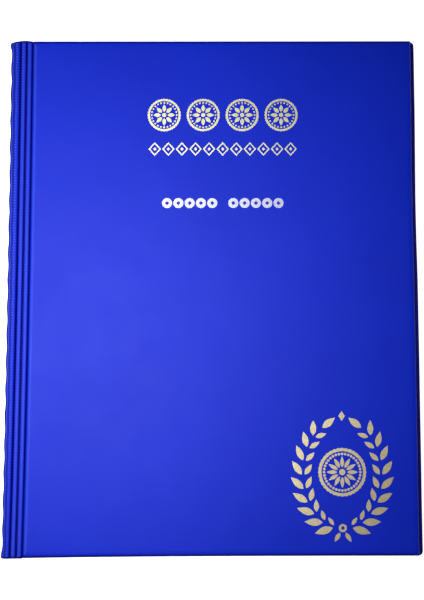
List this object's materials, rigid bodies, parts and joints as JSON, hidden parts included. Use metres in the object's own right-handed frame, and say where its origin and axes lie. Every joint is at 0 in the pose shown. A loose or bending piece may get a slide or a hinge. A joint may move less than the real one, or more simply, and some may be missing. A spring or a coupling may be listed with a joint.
{
  "type": "coin album",
  "caption": "Padded vinyl album with a soft spine, ribbed hinge strips and clear pocket leaves that turn on a plastic comb.",
  "frame": {"origin": "middle of the closed album's footprint, on the surface the back cover lies on", "axes": "+X from the spine to the fore edge, +Y to the head of the album, +Z from the back cover to the front cover"},
  "size_m": [0.218, 0.273, 0.028],
  "materials": {
    "cover_vinyl": "satin royal blue embossed PVC sheet",
    "liner_vinyl": "matt blue PVC sheet",
    "foam": "open-cell padding sheet",
    "greyboard": "grey binder's board",
    "comb_plastic": "white moulded comb",
    "leaf_film": "clear soft PVC film",
    "tape": "cloth-backed adhesive tape"
  },
  "bodies": {
    "back_cover": {"back_cover_skin": "cover_vinyl", "back_cover_foam": "foam", "back_cover_board": "greyboard", "back_cover_liner": "liner_vinyl", "back_hinge": "cover_vinyl", "binding_comb": "comb_plastic", "binding_tape": "tape"},
    "spine": {"spine_skin": "cover_vinyl", "spine_liner": "liner_vinyl"},
    "front_cover": {"front_cover_skin": "cover_vinyl", "front_cover_foam": "foam", "front_cover_board": "greyboard", "front_cover_liner": "liner_vinyl", "front_hinge": "cover_vinyl"},
    "leaf_01": {"leaf_01_back_film": "leaf_film", "leaf_01_pocket_film": "leaf_film"},
    "leaf_02": {"leaf_02_back_film": "leaf_film", "leaf_02_pocket_film": "leaf_film"},
    "leaf_03": {"leaf_03_back_film": "leaf_film", "leaf_03_pocket_film": "leaf_film"},
    "leaf_04": {"leaf_04_back_film": "leaf_film", "leaf_04_pocket_film": "leaf_film"},
    "leaf_05": {"leaf_05_back_film": "leaf_film", "leaf_05_pocket_film": "leaf_film"},
    "leaf_06": {"leaf_06_back_film": "leaf_film", "leaf_06_pocket_film": "leaf_film"},
    "leaf_07": {"leaf_07_back_film": "leaf_film", "leaf_07_pocket_film": "leaf_film"},
    "leaf_08": {"leaf_08_back_film": "leaf_film", "leaf_08_pocket_film": "leaf_film"},
    "leaf_09": {"leaf_09_back_film": "leaf_film", "leaf_09_pocket_film": "leaf_film"},
    "leaf_10": {"leaf_10_back_film": "leaf_film", "leaf_10_pocket_film": "leaf_film"}
  },
  "joints": [
    {"name": "spine_hinge", "type": "hinge", "parent": "back_cover", "child": "spine", "pos_m": [-0.1081, 0, 0.0009], "axis": [0, -1, 0], "range_deg": [0, 90]},
    {"name": "front_cover_hinge", "type": "hinge", "parent": "spine", "child": "front_cover", "pos_m": [-0.1081, 0, 0.0271], "axis": [0, -1, 0], "range_deg": [0, 90]},
    {"name": "leaf_01_turn", "type": "hinge", "parent": "back_cover", "child": "leaf_01", "pos_m": [-0.0976, 0, 0.014], "axis": [0, -1, 0], "range_deg": [0, 178.5]},
    {"name": "leaf_02_turn", "type": "hinge", "parent": "back_cover", "child": "leaf_02", "pos_m": [-0.0976, 0, 0.014], "axis": [0, -1, 0], "range_deg": [0, 177]},
    {"name": "leaf_03_turn", "type": "hinge", "parent": "back_cover", "child": "leaf_03", "pos_m": [-0.0976, 0, 0.014], "axis": [0, -1, 0], "range_deg": [0, 175]},
    {"name": "leaf_04_turn", "type": "hinge", "parent": "back_cover", "child": "leaf_04", "pos_m": [-0.0976, 0, 0.014], "axis": [0, -1, 0], "range_deg": [0, 172]},
    {"name": "leaf_05_turn", "type": "hinge", "parent": "back_cover", "child": "leaf_05", "pos_m": [-0.0976, 0, 0.014], "axis": [0, -1, 0], "range_deg": [0, 168]},
    {"name": "leaf_06_turn", "type": "hinge", "parent": "back_cover", "child": "leaf_06", "pos_m": [-0.0976, 0, 0.014], "axis": [0, -1, 0], "range_deg": [0, 12]},
    {"name": "leaf_07_turn", "type": "hinge", "parent": "back_cover", "child": "leaf_07", "pos_m": [-0.0976, 0, 0.014], "axis": [0, -1, 0], "range_deg": [0, 8]},
    {"name": "leaf_08_turn", "type": "hinge", "parent": "back_cover", "child": "leaf_08", "pos_m": [-0.0976, 0, 0.014], "axis": [0, -1, 0], "range_deg": [0, 5]},
    {"name": "leaf_09_turn", "type": "hinge", "parent": "back_cover", "child": "leaf_09", "pos_m": [-0.0976, 0, 0.014], "axis": [0, -1, 0], "range_deg": [0, 3]},
    {"name": "leaf_10_turn", "type": "hinge", "parent": "back_cover", "child": "leaf_10", "pos_m": [-0.0976, 0, 0.014], "axis": [0, -1, 0], "range_deg": [0, 1.5]}
  ],
  "couplings": [
    {"joint": "spine_hinge", "follows": "front_cover_hinge", "ratio": 1},
    {"joint": "leaf_01_turn", "follows": "front_cover_hinge", "ratio": 1.9833},
    {"joint": "leaf_02_turn", "follows": "front_cover_hinge", "ratio": 1.9666},
    {"joint": "leaf_03_turn", "follows": "front_cover_hinge", "ratio": 1.9444},
    {"joint": "leaf_04_turn", "follows": "front_cover_hinge", "ratio": 1.9111},
    {"joint": "leaf_05_turn", "follows": "front_cover_hinge", "ratio": 1.8666},
    {"joint": "leaf_06_turn", "follows": "front_cover_hinge", "ratio": 0.1333},
    {"joint": "leaf_07_turn", "follows": "front_cover_hinge", "ratio": 0.0888},
    {"joint": "leaf_08_turn", "follows": "front_cover_hinge", "ratio": 0.0555},
    {"joint": "leaf_09_turn", "follows": "front_cover_hinge", "ratio": 0.0333},
    {"joint": "leaf_10_turn", "follows": "front_cover_hinge", "ratio": 0.0166}
  ]
}
